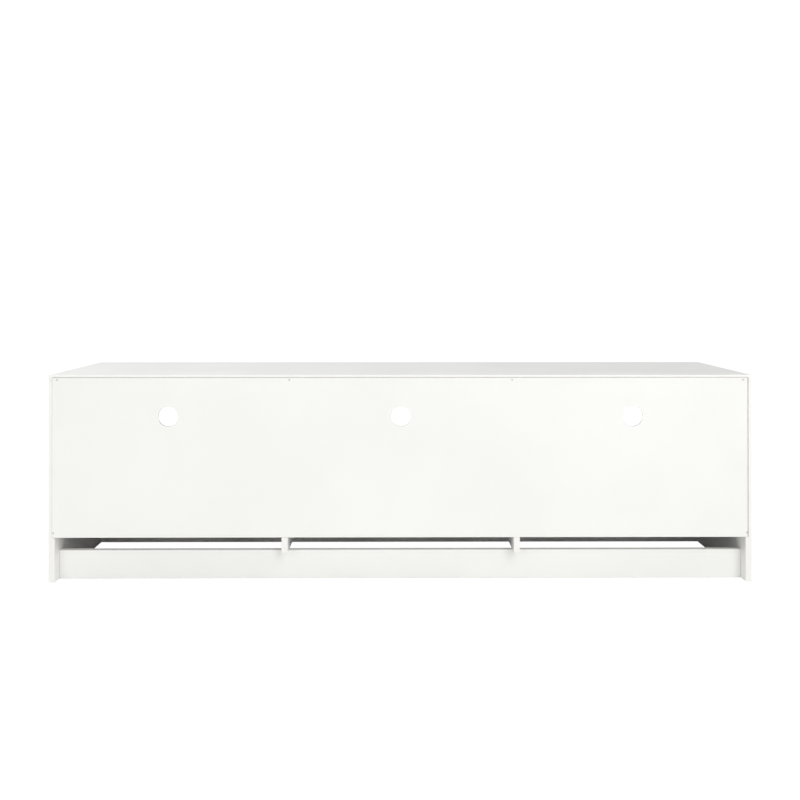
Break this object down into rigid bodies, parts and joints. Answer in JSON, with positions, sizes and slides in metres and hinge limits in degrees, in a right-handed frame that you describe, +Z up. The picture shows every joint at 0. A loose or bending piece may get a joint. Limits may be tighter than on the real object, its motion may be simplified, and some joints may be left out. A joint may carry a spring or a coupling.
{
  "type": "tv stand with doors",
  "caption": "Long low white television stand with an open media bay above a drop-down door in each section, a plinth base and cable holes through the back.",
  "frame": {"origin": "on the floor, at the middle of the whole box, handles included", "axes": "+X along the length, to the right as seen from the front; -Y out of the doors; +Y out of the back; +Z up"},
  "size_m": [1.8, 0.4345, 0.53],
  "materials": {
    "board_white": "white melamine on particle board, matt",
    "back_white": "white painted hardboard, satin",
    "handle_steel": "brushed",
    "plated_steel": "zinc plated",
    "cast_zinc": "die cast zinc alloy, dull",
    "white_plastic": "moulded, satin",
    "beech": "turned beech",
    "magnet": "sintered ferrite"
  },
  "bodies": {
    "carcass": {"top_panel": "board_white", "side_panel_left": "board_white", "side_panel_right": "board_white", "divider_left": "board_white", "divider_right": "board_white", "bottom_panel": "board_white", "media_shelf_left": "board_white", "media_shelf_middle": "board_white", "media_shelf_right": "board_white", "front_plinth": "board_white", "rear_plinth": "board_white", "support_rail_left": "board_white", "support_rail_right": "board_white", "back_panel": "back_white", "cam_bolts": "plated_steel", "divider_screws": "plated_steel", "back_panel_screws": "plated_steel", "corner_block_screws": "plated_steel", "shelf_pins": "plated_steel", "stay_base_screws": "plated_steel", "stay_bases": "plated_steel", "catch_screws": "plated_steel", "cam_locks": "cast_zinc", "corner_blocks": "white_plastic", "pivot_bushes": "white_plastic", "catches": "white_plastic", "dowels": "beech", "catch_magnets": "magnet"},
    "door_left": {"door_left": "board_white", "handle_left": "handle_steel", "handle_screws_left": "plated_steel", "pivot_pins_left": "plated_steel", "strike_plate_left": "plated_steel", "stay_bracket_left": "plated_steel", "bracket_screws_left": "plated_steel"},
    "stay_rod_left": {"stay_rod_left": "plated_steel"},
    "stay_swivel_left": {"stay_swivel_left": "cast_zinc"},
    "door_middle": {"door_middle": "board_white", "handle_middle": "handle_steel", "handle_screws_middle": "plated_steel", "pivot_pins_middle": "plated_steel", "strike_plate_middle": "plated_steel", "stay_bracket_middle": "plated_steel", "bracket_screws_middle": "plated_steel"},
    "stay_rod_middle": {"stay_rod_middle": "plated_steel"},
    "stay_swivel_middle": {"stay_swivel_middle": "cast_zinc"},
    "door_right": {"door_right": "board_white", "handle_right": "handle_steel", "handle_screws_right": "plated_steel", "pivot_pins_right": "plated_steel", "strike_plate_right": "plated_steel", "stay_bracket_right": "plated_steel", "bracket_screws_right": "plated_steel"},
    "stay_rod_right": {"stay_rod_right": "plated_steel"},
    "stay_swivel_right": {"stay_swivel_right": "cast_zinc"}
  },
  "joints": [
    {"name": "door_left_drop", "type": "hinge", "parent": "carcass", "child": "door_left", "pos_m": [-0.59467, -0.185, 0.1455], "axis": [1, 0, 0], "range_deg": [0, 90]},
    {"name": "stay_rod_left_turn", "type": "hinge", "parent": "door_left", "child": "stay_rod_left", "pos_m": [-0.867, -0.1659, 0.25383], "axis": [1, 0, 0], "range_deg": [-45, 0]},
    {"name": "stay_swivel_left_turn", "type": "hinge", "parent": "carcass", "child": "stay_swivel_left", "pos_m": [-0.876, -0.10074, 0.21621], "axis": [1, 0, 0], "range_deg": [0, 45]},
    {"name": "door_middle_drop", "type": "hinge", "parent": "carcass", "child": "door_middle", "pos_m": [0, -0.185, 0.1455], "axis": [1, 0, 0], "range_deg": [0, 90]},
    {"name": "stay_rod_middle_turn", "type": "hinge", "parent": "door_middle", "child": "stay_rod_middle", "pos_m": [-0.27233, -0.1659, 0.25383], "axis": [1, 0, 0], "range_deg": [-45, 0]},
    {"name": "stay_swivel_middle_turn", "type": "hinge", "parent": "carcass", "child": "stay_swivel_middle", "pos_m": [-0.28133, -0.10074, 0.21621], "axis": [1, 0, 0], "range_deg": [0, 45]},
    {"name": "door_right_drop", "type": "hinge", "parent": "carcass", "child": "door_right", "pos_m": [0.59467, -0.185, 0.1455], "axis": [1, 0, 0], "range_deg": [0, 90]},
    {"name": "stay_rod_right_turn", "type": "hinge", "parent": "door_right", "child": "stay_rod_right", "pos_m": [0.32233, -0.1659, 0.25383], "axis": [1, 0, 0], "range_deg": [-45, 0]},
    {"name": "stay_swivel_right_turn", "type": "hinge", "parent": "carcass", "child": "stay_swivel_right", "pos_m": [0.31333, -0.10074, 0.21621], "axis": [1, 0, 0], "range_deg": [0, 45]}
  ],
  "couplings": [
    {"joint": "stay_rod_left_turn", "follows": "door_left_drop", "ratio": -0.5},
    {"joint": "stay_swivel_left_turn", "follows": "door_left_drop", "ratio": 0.5},
    {"joint": "stay_rod_middle_turn", "follows": "door_middle_drop", "ratio": -0.5},
    {"joint": "stay_swivel_middle_turn", "follows": "door_middle_drop", "ratio": 0.5},
    {"joint": "stay_rod_right_turn", "follows": "door_right_drop", "ratio": -0.5},
    {"joint": "stay_swivel_right_turn", "follows": "door_right_drop", "ratio": 0.5}
  ]
}
